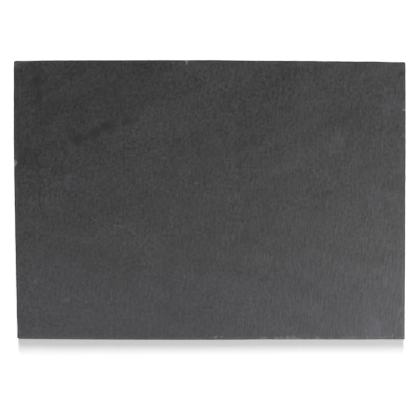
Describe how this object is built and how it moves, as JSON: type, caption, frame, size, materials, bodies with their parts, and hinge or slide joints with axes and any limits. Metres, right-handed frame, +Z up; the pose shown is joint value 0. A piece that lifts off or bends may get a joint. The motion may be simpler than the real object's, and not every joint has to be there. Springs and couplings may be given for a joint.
{
  "type": "slate cheese board",
  "caption": "Rectangular riven slate serving slab with rubbed, lightly chipped edges on moulded rubber feet.",
  "frame": {"origin": "on the table, under the middle of the board's bounding box", "axes": "+Z up out of the serving face, +X along the long side to the right, +Y to the back edge"},
  "size_m": [0.42, 0.3, 0.009],
  "materials": {
    "slate": "matt riven face, sawn edges",
    "foot_rubber": "moulded satin",
    "adhesive_film": "matt film"
  },
  "bodies": {
    "root": {"slate_slab": "slate", "foot_front_left": "foot_rubber", "foot_front_right": "foot_rubber", "foot_back_right": "foot_rubber", "foot_back_left": "foot_rubber", "adhesive_front_left": "adhesive_film", "adhesive_front_right": "adhesive_film", "adhesive_back_right": "adhesive_film", "adhesive_back_left": "adhesive_film"}
  },
  "joints": []
}
